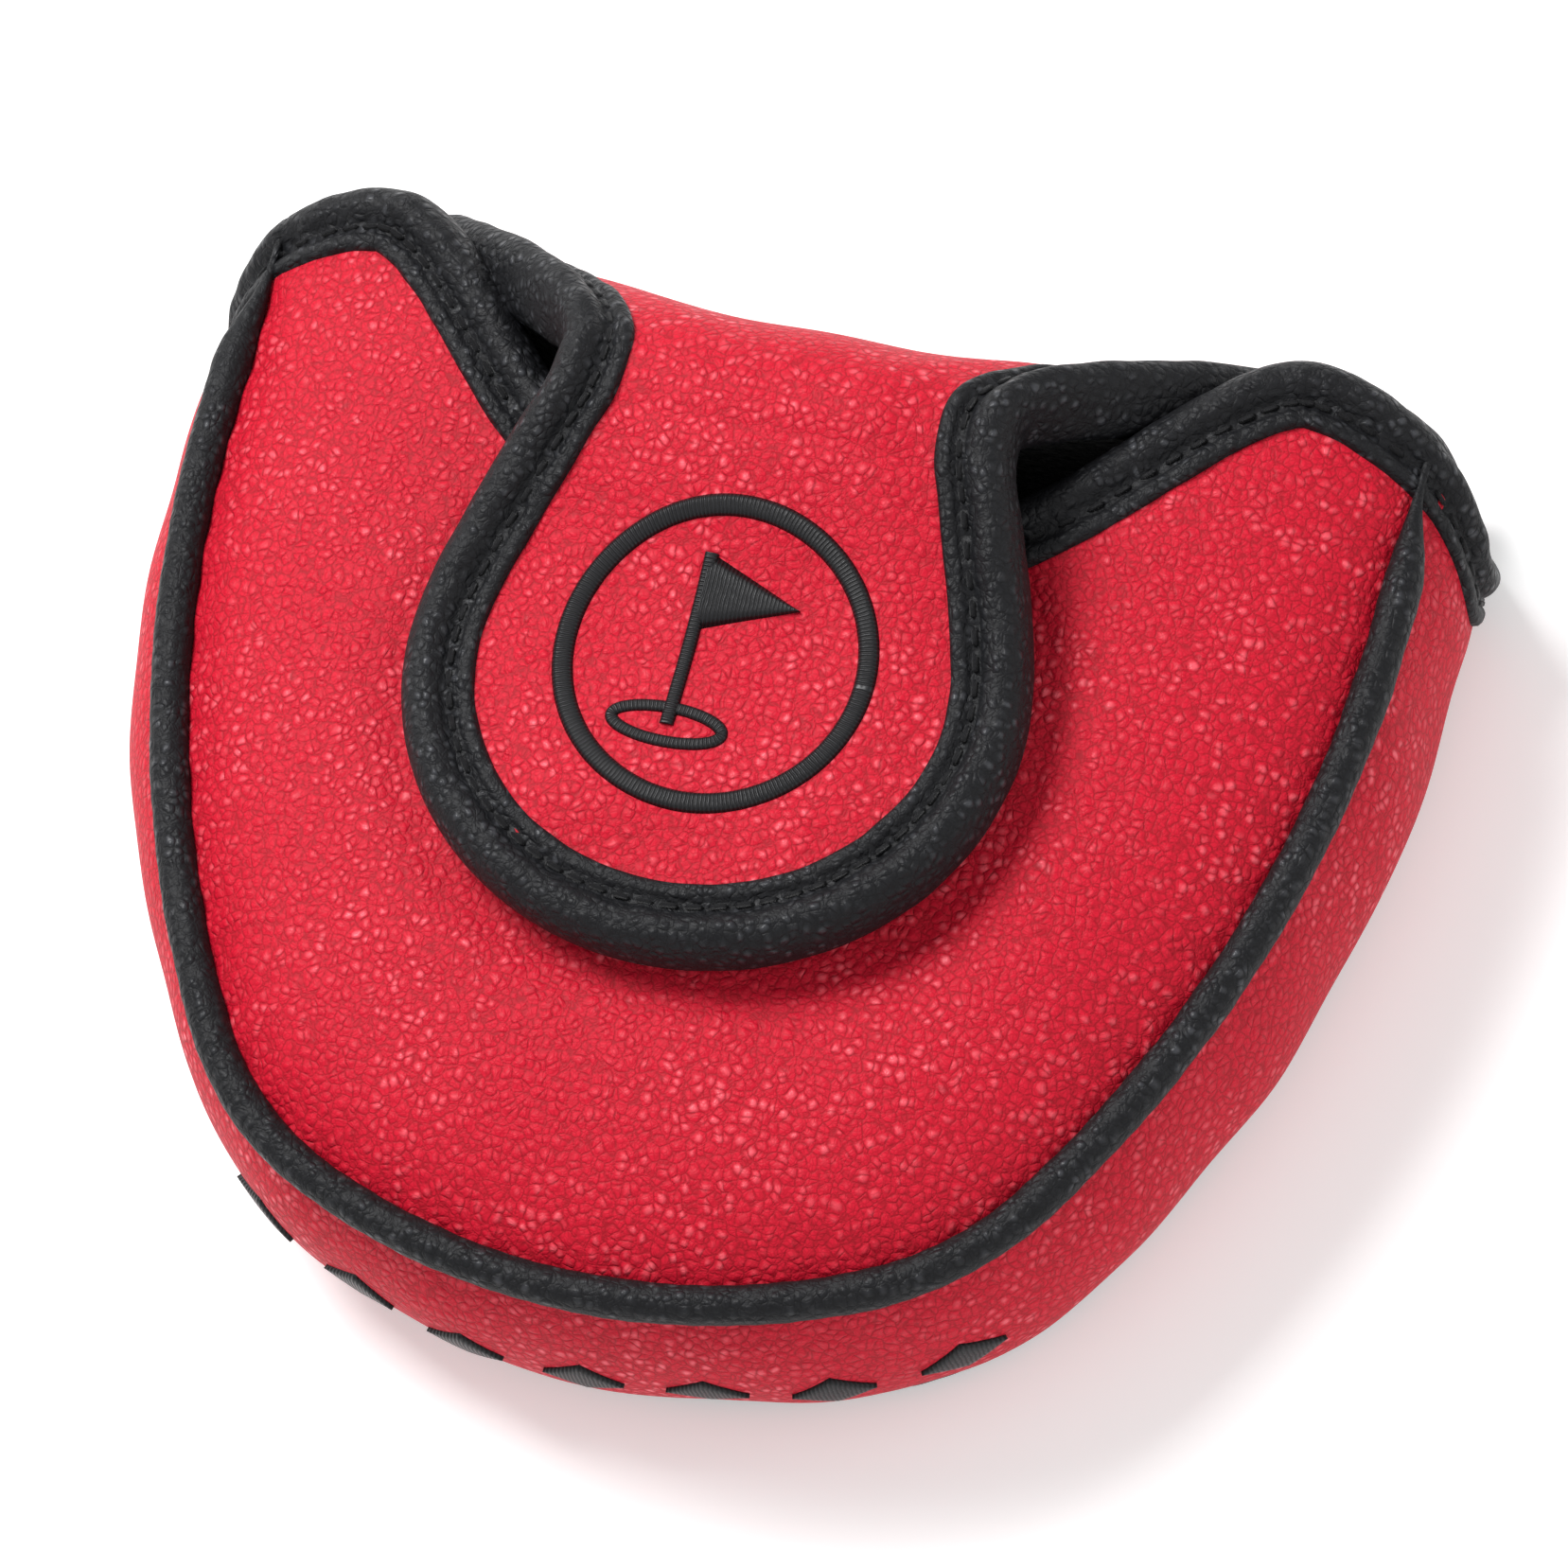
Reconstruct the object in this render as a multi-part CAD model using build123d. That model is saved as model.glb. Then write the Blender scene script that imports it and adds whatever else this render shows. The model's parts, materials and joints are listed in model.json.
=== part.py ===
from build123d import *

import math
import os

# Mallet putter head cover, lying on its back panel with the flap closed.
#
# Millimetres, +Z up, +Y towards the mouth, +X to the right seen from above. Everything is modelled
# about the seam frame, whose Y zero is near the emblem, and save() moves it so that the origin is
# the middle of the footprint. The walls are three layers: an outer skin, a foam padding and a
# plush lining. The back wall curls up at the mouth, arches forward and becomes the flap.

# ---- layers ---------------------------------------------------------------------------------
skin = 1.2
padding = 3.0
lining = 1.5
wall = skin + padding + lining
flap_padding = 2.2
flap_wall = skin + flap_padding + lining
fit_gap = 0.1  # slack of a piece in the pocket or channel that holds it
body_gap = 0.3  # least clearance between the pouch and the flap

# ---- seam outline: a D whose round end is three tangent arcs a side --------------------------
half_width = 61.7
nose_y = -67.6
nose_radius = 70.0
corner_radius = 33.0
side_radius = 125.0
side_y = 17.0  # where the side starts to run straight along Y
outline_end = 60.0  # the outline runs past the mouth, which is cut later

# ---- height ---------------------------------------------------------------------------------
front_seam = 28.0
gusset_foot = 1.0
gusset_bulge = 5.5
dome_steps = [(0, 0), (4, 3.2), (12, 6.0), (24, 7.7), (30, 8.0)]  # inset and rise of the front panel
dome_rise = dome_steps[-1][1]

# ---- front mouth edge: a scoop between two ears ----------------------------------------------
scoop_y = 18.0
scoop_half = 16.0
ear_y = 42.5
ear_x = 50.0
ear_run = 17.5
ear_drop = 12.0

# ---- back wall: a half round from the floor to the arch, seen from the side ------------------
arch_radius = 23.5
arch_y = 26.5
ear_angle = -52.0  # degrees round the half round, level at 0, where the rear edge leaves the seam
neck_angle = 86.0  # where it becomes the neck of the flap
tuck_angles = (-80.0, -55.0)  # the tape disappears into the seam between these

# ---- binding tape ----------------------------------------------------------------------------
tape = 0.9
tape_width = 8.0
tape_roll = 2.0  # the folded tape reaches this far past the raw edge

# ---- piping ----------------------------------------------------------------------------------
piping_radius = 2.05
piping_cord_radius = 1.2
piping_out = 1.2
piping_up = 0.9

# ---- flap ------------------------------------------------------------------------------------
fold_y = 30.0
neck_half = 24.5
flap_half = 32.4
flap_wide_y = -7.0
flap_tip_y = -37.0
flap_flat_y = -8.0  # the flap lies flat from here to its tip

# ---- magnets ---------------------------------------------------------------------------------
magnet_radius = 6.0
magnet_thickness = 1.6
magnet_x = 12.0
magnet_y = -22.0

# ---- embroidery ------------------------------------------------------------------------------
emblem_y = -5.0
emblem_radius = 16.8
emblem_line = 2.2
embroidery_rise = 0.5
lozenge_count = 7
lozenge_pitch = 12.0
lozenge_width = 8.0
lozenge_height = 6.0

# ---- worked out ------------------------------------------------------------------------------
arch_top = 2 * arch_radius
rear_y = arch_y + arch_radius
flap_low = front_seam + dome_rise + body_gap + tape  # underside of the flap's lining on the flat
flap_high = flap_low + flap_wall
gusset_mid = (front_seam + gusset_foot) / 2
gusset_half = (front_seam - gusset_foot) / 2
gusset_radius = (gusset_half**2 + gusset_bulge**2) / (2 * gusset_bulge)
far = 200.0
centre_shift = -(nose_y - gusset_bulge + rear_y + tape) / 2


def smooth(t):
    """The smooth step from 0 to 1."""
    t = min(max(t, 0.0), 1.0)
    return t * t * (3 - 2 * t)


def slope_of(function, x):
    """The slope of a function at x."""
    step = 0.01
    return (function(x + step) - function(x - step)) / (2 * step)


def towards(a, b, length):
    """The point at that length from a on the line through b."""
    gap = math.dist(a, b)
    return (a[0] + (b[0] - a[0]) * length / gap, a[1] + (b[1] - a[1]) * length / gap)


def arc_middle(centre, a, b, radius):
    """The middle of the shorter arc from a to b about centre."""
    return towards(centre, ((a[0] + b[0]) / 2, (a[1] + b[1]) / 2), radius)


def arc_centres():
    """Centres of the nose, side and corner arcs; the corner one touches the other two inside."""
    nose = (0.0, nose_y + nose_radius)
    side = (half_width - side_radius, side_y)
    to_nose = nose_radius - corner_radius
    to_side = side_radius - corner_radius
    gap = math.dist(nose, side)
    along = (to_side**2 - to_nose**2 + gap**2) / (2 * gap)
    across = math.sqrt(to_side**2 - along**2)
    ux, uy = (nose[0] - side[0]) / gap, (nose[1] - side[1]) / gap
    return nose, side, (side[0] + ux * along + uy * across, side[1] + uy * along - ux * across)


def outline_edges(inset=0.0, end=outline_end):
    """The open seam line from the left mouth end round the nose to the right, moved inwards."""
    nose, side, corner = arc_centres()
    low = towards(nose, corner, nose_radius - inset)
    high = towards(side, corner, side_radius - inset)
    top = (half_width - inset, side_y)
    bottom = (0.0, nose_y + inset)
    mouth = (top[0], end)
    corner_mid = arc_middle(corner, low, high, corner_radius - inset)
    side_mid = arc_middle(side, high, top, side_radius - inset)

    def left(point):
        return (-point[0], point[1])

    return [
        Line(left(mouth), left(top)),
        ThreePointArc(left(top), left(side_mid), left(high)),
        ThreePointArc(left(high), left(corner_mid), left(low)),
        ThreePointArc(left(low), bottom, low),
        ThreePointArc(low, corner_mid, high),
        ThreePointArc(high, side_mid, top),
        Line(top, mouth),
    ]


def outline_face(inset=0.0):
    """The D as a face, closed across the mouth end."""
    last = half_width - inset
    return make_face(outline_edges(inset) + [Line((last, outline_end), (-last, outline_end))])


def upright(face):
    """A block of that plan shape through the whole height."""
    return extrude(Pos(0, 0, -far) * face, 2 * far)


def domed_block(height):
    """Everything under the front panel's domed surface, with its seam at that height."""
    sections = [Pos(0, 0, height + rise) * outline_face(inset) for inset, rise in dome_steps]
    base = extrude(Pos(0, 0, -far) * outline_face(), height + far)
    return base + loft(sections, ruled=True)


def front_layer(top, thickness):
    """The layer of the front wall that starts top below the outer surface, uncut."""
    return domed_block(front_seam - top) - domed_block(front_seam - top - thickness)


def mouth_line(x):
    """Y of the front mouth edge at x: a flat scoop, a smooth climb and a rounded ear."""
    x = abs(x)
    if x <= ear_x:
        return scoop_y + (ear_y - scoop_y) * smooth((x - scoop_half) / (ear_x - scoop_half))
    share = min((x - ear_x) / ear_run, 1.0)
    return ear_y - ear_drop * (1 - math.sqrt(1 - share**2))


def mouth_block(inset):
    """Upright block on the pouch's side of the front mouth edge, moved inwards by inset."""
    points = []
    for x in (0, 8, scoop_half, 24, 33, 42, ear_x, 56, 61, 65):
        slope = slope_of(mouth_line, x)
        run = math.hypot(1, slope)
        points.append((x + inset * slope / run, mouth_line(x) - inset / run))
    points = [(-x, y) for x, y in reversed(points[1:])] + points
    (x0, y0), (x1, y1) = points[0], points[-1]
    frame = Polyline((x1, y1), (far, y1), (far, -far), (-far, -far), (-far, y0), (x0, y0))
    return upright(make_face([Spline(points)] + frame.edges()))


def swept(profile):
    """A profile in (outwards, up) carried along the seam line."""
    path = Wire(outline_edges(end=outline_end - 5))
    start = Plane(origin=path @ 0, x_dir=(-1, 0, 0), z_dir=(0, 1, 0))
    return sweep(start * profile, path=path)


def gusset_lens(grow, high=front_seam, inner=0.0):
    """The gusset's cross-section inside an arc that is concentric with its outer one."""
    window = Pos(far / 2 - inner, (gusset_foot + high) / 2) * Rectangle(far, high - gusset_foot)
    return (Pos(gusset_bulge - gusset_radius, gusset_mid) * Circle(gusset_radius + grow)) & window


def gusset_end(profile):
    """The same profile carried along the straight right end of the seam line."""
    start = Plane(origin=(half_width, side_y, 0), x_dir=(1, 0, 0), z_dir=(0, -1, 0))
    return extrude(start * profile, side_y - outline_end)


def gusset_lining(thickness, block):
    """A strip inside the seam line and the block, between the linings of the front and back."""
    low, high = wall + fit_gap, front_seam - wall - tape - fit_gap
    ring = (upright(outline_face()) & block) - upright(outline_face(thickness))
    between = Pos(0, 0, (low + high) / 2) * Box(2 * far, 2 * far, high - low)
    return (ring & between) - back_band(-tape, wall + 2 * tape + fit_gap)


def piping_tube(height, radius):
    """A round cord lying in the seam at that height."""
    return swept(Pos(piping_out, height) * Circle(radius))


def arch_point(depth, angle):
    """The point (y, z) of the half round at that depth in its wall and that angle in degrees."""
    r = arch_radius - depth
    turn = math.radians(angle)
    return (arch_y + r * math.cos(turn), arch_radius + r * math.sin(turn))


def back_profile(depth):
    """The side view of the back wall's surface at that depth: floor, half round, up to the fold."""
    r = arch_radius - depth
    fold_angle = math.degrees(math.acos((fold_y + body_gap - arch_y) / r))
    foot, end = arch_point(depth, -90), arch_point(depth, fold_angle)
    middle = arch_point(depth, (fold_angle - 90) / 2)
    return [Line((-far, foot[1]), foot), ThreePointArc(foot, middle, end)]


def side_extrusion(outer, inner):
    """The band between two side-view lines, through the whole width."""
    ends = [Line(outer[0] @ 0, inner[0] @ 0), Line(outer[-1] @ 1, inner[-1] @ 1)]
    return extrude(Plane.YZ * make_face(outer + inner + ends), far, both=True)


def back_band(top, thickness):
    """The back wall's layer between two depths, uncut."""
    return side_extrusion(back_profile(top), back_profile(top + thickness))


def rear_half(angle):
    """Half width of the back wall at that angle of its half round."""
    free = 1 - smooth((angle - ear_angle) / (neck_angle - ear_angle))
    start, end = tuck_angles
    hidden = 1 - smooth((angle - start) / (end - start))
    return neck_half + (half_width - neck_half) * free + (tape_width + tape_roll) * hidden


def rear_block(inset):
    """What the back wall may fill: all of the floor, and the half round up to its rear edge."""
    sections = []
    for angle in (-90, -80, -70, -60, -45, -30, -10, 10, 30, 50, 70, 85, 100):
        slope = slope_of(rear_half, angle) / math.radians(arch_radius)
        run = math.hypot(1, slope)
        turn = math.radians(angle) + inset * slope / run / arch_radius
        outwards = (0, math.cos(turn), math.sin(turn))
        middle = (0, arch_y + arch_radius * outwards[1], arch_radius + arch_radius * outwards[2])
        plane = Plane(origin=middle, x_dir=(1, 0, 0), z_dir=(0, -outwards[2], outwards[1]))
        width = 2 * (rear_half(angle) - inset / run)
        sections.append(plane * Rectangle(width, 1.6 * arch_radius))
    floor = Pos(0, arch_y - far / 2, 0) * Box(2 * far, far, far)
    return floor + loft(sections)


def back_layer(top, thickness):
    """A layer of the back wall, cut to the seam outline and to its raw rear edge."""
    return back_band(top, thickness) & upright(outline_face(fit_gap)) & rear_block(tape_roll)


def front_binding():
    """The tape folded over the front mouth edge."""
    outside = domed_block(front_seam + tape) - domed_block(front_seam - wall - tape)
    held = (domed_block(front_seam) - domed_block(front_seam - wall)) & mouth_block(tape_roll)
    return ((outside & mouth_block(0)) - held) - mouth_block(tape_width)


def gusset_binding():
    """The tape folded over the right end of the gusset, outside and inside."""
    edge, end, raw = mouth_block(0), mouth_block(tape_width), mouth_block(tape_roll)
    cover = gusset_end(gusset_lens(tape, front_seam + tape))
    held = gusset_end(gusset_lens(0, inner=fit_gap)) & raw
    outside = (cover & edge) - end - held
    inside = gusset_lining(lining + tape, edge) - end - gusset_lining(lining + fit_gap, raw)
    right = Pos(far / 2, 0, 0) * Box(far, 2 * far, far)
    return outside + (inside & right)


def rear_binding():
    """The tape folded over the left rear mouth edge, from the end of the gusset up to the neck."""
    start_y = mouth_line(half_width) + fit_gap
    corner = Pos(-far / 2, start_y + far / 2, 0) * Box(far, far, far)
    neck = Pos(-far / 2, (fold_y + start_y) / 2, arch_top) * Box(far, start_y - fold_y, arch_radius)
    cover = back_band(-tape, wall + 2 * tape) & upright(outline_face(fit_gap)) & rear_block(0)
    return (cover & (corner + neck)) - back_layer(0, wall) - rear_block(tape_width)


def flap_profile(depth):
    """The side view of the flap's surface at that depth, from the fold to beyond the tip."""
    r = arch_radius - depth
    fold_angle = math.degrees(math.acos((fold_y - body_gap - arch_y) / r))
    run, drop = arch_y - flap_flat_y, arch_top - flap_high
    bend = (run**2 + drop**2) / (4 * drop)
    slope = math.asin(run / 2 / bend)
    crest, flat = (arch_y, arch_top - depth), (flap_flat_y, flap_high - depth)

    def falling(angle):
        return (arch_y - (bend - depth) * math.sin(angle), arch_top - bend + (bend - depth) * math.cos(angle))

    def levelling(angle):
        reach = bend + depth
        return (flap_flat_y + reach * math.sin(angle), flap_high + bend - reach * math.cos(angle))

    return [
        ThreePointArc(arch_point(depth, fold_angle), arch_point(depth, (fold_angle + 90) / 2), crest),
        ThreePointArc(crest, falling(slope / 2), falling(slope)),
        ThreePointArc(falling(slope), levelling(slope / 2), flat),
        Line(flat, (-far, flap_high - depth)),
    ]


def flap_band(top, thickness):
    """A layer of the flap between two depths, uncut."""
    return side_extrusion(flap_profile(top), flap_profile(top + thickness))


def flap_edge(y):
    """Half width of the flap at y, from its widest line to the neck."""
    neck_start = fold_y - 3
    share = smooth((y - flap_wide_y) / (neck_start - flap_wide_y))
    return flap_half + (neck_half - flap_half) * share


def flap_block(inset):
    """Upright block of the flap's plan shape, moved inwards by inset."""
    wide, deep = flap_half - inset, flap_wide_y - flap_tip_y - inset
    right = []
    for y in (fold_y + 6, fold_y, 24, 17, 10, 3):
        slope = slope_of(flap_edge, y)
        run = math.hypot(1, slope)
        right.append((flap_edge(y) - inset / run, y + inset * slope / run))
    right.append((wide, flap_wide_y))
    left = [(-x, y) for x, y in right]
    edges = [
        Spline(right, tangents=[(0, -1), (0, -1)]),
        EllipticalCenterArc((0, flap_wide_y), wide, deep, start_angle=180, arc_size=180),
        Spline(left, tangents=[(0, -1), (0, -1)]),
        Line(left[0], right[0]),
    ]
    return upright(make_face(edges))


def flap_layer(top, thickness):
    """A layer of the flap, cut back to the raw edge that its tape wraps."""
    return flap_band(top, thickness) & flap_block(tape_roll)


def flap_binding():
    """The tape folded over the flap's edge, from one side of the fold round to the other."""
    cover = flap_band(-tape, flap_wall + 2 * tape) & flap_block(0)
    return cover - flap_block(tape_width) - flap_layer(0, flap_wall)


def magnet(side, middle, slack=0.0):
    """A disc magnet, side -1 or 1 of the middle line, with its middle at that height."""
    disc = Cylinder(magnet_radius + slack, magnet_thickness + 2 * slack)
    return Pos(side * magnet_x, magnet_y, middle) * disc


def emblem_face():
    """A flagstick with its pennant, standing in a cup, inside a ring."""
    inner = emblem_radius - emblem_line
    stick_x, foot_y, head_y = -0.2 * inner, -0.55 * inner, 0.72 * inner
    fly_y, hem_y = head_y - 0.28 * inner, head_y - 0.56 * inner
    ring = Circle(emblem_radius) - Circle(inner)
    stick = Pos(stick_x, (foot_y + head_y) / 2) * Rectangle(0.7 * emblem_line, head_y - foot_y)
    pennant = Polyline((stick_x, head_y), (0.5 * inner, fly_y), (stick_x, hem_y), close=True)
    cup = Ellipse(0.45 * inner, 0.17 * inner) - Ellipse(0.34 * inner, 0.08 * inner)
    return Pos(0, emblem_y) * (ring + stick + make_face(pennant) + Pos(stick_x, foot_y) * cup)


def flap_emblem():
    """The embroidered emblem, raised from the flap's skin."""
    return flap_band(-embroidery_rise, embroidery_rise) & extrude(emblem_face(), far)


def gusset_lozenges():
    """Embroidered lozenges in a row round the nose of the gusset."""
    path = Wire(outline_edges())
    raised = swept(gusset_lens(embroidery_rise) - gusset_lens(0))
    a, b = lozenge_width / 2, lozenge_height / 2
    face = make_face(Polyline((a, 0), (0, b), (-a, 0), (0, -b), close=True))
    pieces = []
    for i in range(lozenge_count):
        share = 0.5 + (i - (lozenge_count - 1) / 2) * lozenge_pitch / path.length
        spot, along = path @ share, path % share
        plane = Plane(
            origin=(spot.X, spot.Y, gusset_mid), x_dir=along, z_dir=along.cross(Vector(0, 0, 1))
        )
        pieces.append(raised & extrude(plane * face, gusset_bulge + 2))
    return pieces


def save(name, shape):
    """Moves a piece so that the origin is the middle of the footprint, and writes its file."""
    shape = Pos(0, centre_shift, 0) * shape
    export_step(Compound(shape.solids()), f"parts/{name}.step")


def save_front_and_gusset(channels):
    """The front wall and the gusset, cut at the mouth and grooved for the piping."""
    raw_edge = mouth_block(tape_roll)
    middle = front_seam + dome_rise - skin - padding / 2

    def cut(shape):
        shape = shape & raw_edge
        for channel in channels:
            shape = shape - channel
        return shape

    save("front_panel", cut(front_layer(0, skin)))
    save("front_lining", front_layer(skin + padding, lining) & raw_edge)
    front_padding = cut(front_layer(skin, padding))
    for side, word in ((-1, "left"), (1, "right")):
        save(f"front_magnet_{word}", magnet(side, middle))
        front_padding = front_padding - magnet(side, middle, fit_gap)
    save("front_padding", front_padding)
    save("gusset_panel", cut(swept(gusset_lens(0) - gusset_lens(-skin))))
    save("gusset_padding", cut(swept(gusset_lens(-skin))))
    save("gusset_lining", gusset_lining(lining, raw_edge))
    for i, piece in enumerate(gusset_lozenges()):
        save(f"gusset_lozenge_{i + 1}", piece)


def save_back(channels):
    """The back wall, grooved for the piping."""
    layers = {"panel": (0, skin), "padding": (skin, padding), "lining": (skin + padding, lining)}
    for word, (top, thickness) in layers.items():
        shape = back_layer(top, thickness)
        for channel in channels:
            shape = shape - channel
        save(f"back_{word}", shape)


def save_flap():
    """The flap, with its magnets in pockets of its padding."""
    middle = flap_high - skin - flap_padding / 2
    flap_pad = flap_layer(skin, flap_padding)
    for side, word in ((-1, "left"), (1, "right")):
        save(f"flap_magnet_{word}", magnet(side, middle))
        flap_pad = flap_pad - magnet(side, middle, fit_gap)
    save("flap_padding", flap_pad)
    save("flap_panel", flap_layer(0, skin))
    save("flap_lining", flap_layer(skin + flap_padding, lining))
    save("flap_binding", flap_binding())
    save("flap_emblem", flap_emblem())


def save_all():
    """Makes every piece and writes it."""
    os.makedirs("parts", exist_ok=True)
    heights = {"front": front_seam + piping_up, "back": piping_radius}
    under_tape = mouth_block(tape_width + fit_gap)
    channels = []
    for word, height in heights.items():
        cord = piping_tube(height, piping_cord_radius)
        save(f"{word}_piping_cord", cord & under_tape)
        save(f"{word}_piping", (piping_tube(height, piping_radius) - cord) & under_tape)
        channels.append(piping_tube(height, piping_radius + fit_gap) & under_tape)
    save_front_and_gusset(channels)
    save_back(channels)
    save("front_mouth_binding", front_binding())
    save("gusset_binding_right", gusset_binding())
    save("gusset_binding_left", mirror(gusset_binding(), Plane.YZ))
    save("rear_binding_left", rear_binding())
    save("rear_binding_right", mirror(rear_binding(), Plane.YZ))
    save_flap()


save_all()
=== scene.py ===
# %% [markdown]
# # A mallet putter cover in Blender
# The cover is a padded leather pouch. Its back wall curls up at the mouth, arches forward and becomes
# a flap that lies over the front. The solid model gives the sizes and the bodies that move; this
# script gives each visible surface its padding, its stitching and its grain.

import json
import math

import bmesh
import bpy
import numpy as np
from mathutils import Matrix, Vector


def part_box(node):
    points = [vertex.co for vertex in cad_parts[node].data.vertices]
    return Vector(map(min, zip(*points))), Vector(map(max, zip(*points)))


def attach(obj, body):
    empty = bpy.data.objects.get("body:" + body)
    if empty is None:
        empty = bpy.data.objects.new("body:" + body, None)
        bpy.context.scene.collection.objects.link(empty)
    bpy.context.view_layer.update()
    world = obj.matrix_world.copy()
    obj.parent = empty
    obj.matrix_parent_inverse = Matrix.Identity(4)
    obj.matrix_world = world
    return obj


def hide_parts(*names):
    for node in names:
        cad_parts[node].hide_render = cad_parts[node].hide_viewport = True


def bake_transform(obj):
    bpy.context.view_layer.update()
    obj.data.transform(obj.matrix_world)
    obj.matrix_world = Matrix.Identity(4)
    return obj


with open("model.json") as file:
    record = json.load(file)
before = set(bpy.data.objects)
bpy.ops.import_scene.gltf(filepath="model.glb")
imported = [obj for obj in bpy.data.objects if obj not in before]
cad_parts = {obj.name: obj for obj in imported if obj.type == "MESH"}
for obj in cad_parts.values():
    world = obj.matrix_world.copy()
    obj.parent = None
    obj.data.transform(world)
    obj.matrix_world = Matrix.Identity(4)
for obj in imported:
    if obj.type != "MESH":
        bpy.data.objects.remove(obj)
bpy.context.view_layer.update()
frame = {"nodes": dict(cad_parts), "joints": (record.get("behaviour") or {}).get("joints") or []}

# %% [markdown]
# ## Sizes
# Everything below is worked out in millimetres about the seam frame, whose Y zero is near the emblem.
# The sizes are read from the solid model's boxes, so the leather lands where the solids are.


# %% Sizes read from the solid model
def box_mm(node):
    """The lowest and highest corners of a node, in millimetres."""
    low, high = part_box(node)
    return np.array(low) * 1000, np.array(high) * 1000


fold = np.array(frame["joints"][0]["pos_m"]) * 1000
fold_y = 30.0
shift = fold[1] - fold_y
wall, flap_wall, skin, fit_gap = 5.7, 4.9, 1.2, 0.1
dome_rise = 8.0
neck_half, flap_wide_y, flap_flat_y = 24.5, -7.0, -8.0
front_low, front_high = box_mm("front_panel")
panel_low, panel_high = box_mm("flap_panel")
flap_low, flap_high = box_mm("flap_binding")
half_width = front_high[0]
nose_y = front_low[1] - shift
front_seam = front_high[2] - dome_rise
arch_top = panel_high[2]
arch_radius = arch_top / 2
arch_y = box_mm("back_panel")[1][1] - shift - arch_radius
flap_top = panel_low[2] + skin
flap_half = flap_high[0]
flap_tip_y = flap_low[1] - shift
print("half width", half_width, "nose", nose_y, "arch", arch_y, arch_radius, "flap top", flap_top)

# %% [markdown]
# ## Small helpers
# A smooth step joins one size to another without a corner. A sum of a few sine waves, turned and
# shifted by seeded random numbers, makes the slow, irregular swelling of hand-sewn padding, the same
# in every run. Stitches gather the leather along a seam, and a sine whose pace drifts gives those
# gathers.


# %% Smooth step and slow swelling
def smooth(t):
    """The smooth step from 0 to 1."""
    t = np.clip(t, 0.0, 1.0)
    return t * t * (3 - 2 * t)


def swell(p, q, size, seed):
    """Slow noise of about -1 to 1: twelve plane waves of about that size, in random directions."""
    waves = 12
    rng = np.random.default_rng(seed)
    turn = rng.uniform(0, 2 * math.pi, waves)
    phase = rng.uniform(0, 2 * math.pi, waves)
    pace = 2 * math.pi / (size * rng.uniform(0.7, 1.6, waves))
    total = 0
    for angle, start, k in zip(turn, phase, pace):
        total = total + np.sin(k * (p * math.cos(angle) + q * math.sin(angle)) + start)
    return total / 4


def gathers(s):
    """Gathers from -1 to 1 along a seam, about 6.8 mm apart: a sine with a sine in its phase."""
    return np.sin(2 * math.pi * s / 6.8 + 1.3 * np.sin(s / 9.0))


print("swelling at the origin", float(swell(0.0, 0.0, 20, 1)))

# %% [markdown]
# ## The seam line
# Seen from above the cover is a D: a nose arc, a corner arc and a side arc that touch each other,
# and a straight run to the mouth. Sampling the arcs finely once makes a lookup table, and any place
# along the seam is then read from it by its distance from the middle of the nose.


# %% The seam line as a lookup table
nose_radius, corner_radius, side_radius, side_y, seam_end = 70.0, 33.0, 125.0, 17.0, 52.0


def seam_table():
    """Right half of the seam: each arc is centre + radius times (cos, sin) of its angle."""
    nose = np.array([0.0, nose_y + nose_radius])
    side = np.array([half_width - side_radius, side_y])
    to_nose, to_side = nose_radius - corner_radius, side_radius - corner_radius
    gap = np.linalg.norm(nose - side)
    along = (to_side**2 - to_nose**2 + gap**2) / (2 * gap)
    across = math.sqrt(to_side**2 - along**2)
    ux, uy = (nose - side) / gap
    corner = side + np.array([ux * along + uy * across, uy * along - ux * across])
    turn_a = math.atan2(*(corner - nose)[::-1])
    turn_b = math.atan2(*(corner - side)[::-1])
    arcs = []
    for centre, radius, start, end in (
        (nose, nose_radius, -math.pi / 2, turn_a),
        (corner, corner_radius, turn_a, turn_b),
        (side, side_radius, turn_b, 0.0),
    ):
        angle = np.linspace(start, end, 200)[:-1]
        arcs.append(centre + radius * np.stack([np.cos(angle), np.sin(angle)], -1))
    y = np.linspace(side_y, seam_end, 60)
    arcs.append(np.stack([np.full_like(y, half_width), y], -1))
    return np.concatenate(arcs)


seam_xy = seam_table()
seam_s = np.concatenate([[0], np.cumsum(np.linalg.norm(np.diff(seam_xy, axis=0), axis=1))])
tangent = np.gradient(seam_xy, seam_s, axis=0)
tangent /= np.linalg.norm(tangent, axis=1)[:, None]
seam_turn = np.unwrap(np.arctan2(tangent[:, 1], tangent[:, 0]))


def seam(s):
    """Point and outward normal of the seam at signed distance s from the nose's middle."""
    side = np.where(s < 0, -1.0, 1.0)
    a = np.abs(s)
    x, y = np.interp(a, seam_s, seam_xy[:, 0]), np.interp(a, seam_s, seam_xy[:, 1])
    turn = np.interp(a, seam_s, seam_turn)
    return side * x, y, side * np.sin(turn), -np.cos(turn)


print("seam length", round(float(2 * seam_s[-1]), 1), "mm")

# %% [markdown]
# ## The front wall
# The front is a low dome: it leaves the seam steeply and levels out, as padding does under leather.
# Its height is one minus an exponential of the distance from the seam, and the direction in which
# that distance grows fastest gives the slope, and so the surface's normal.

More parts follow.
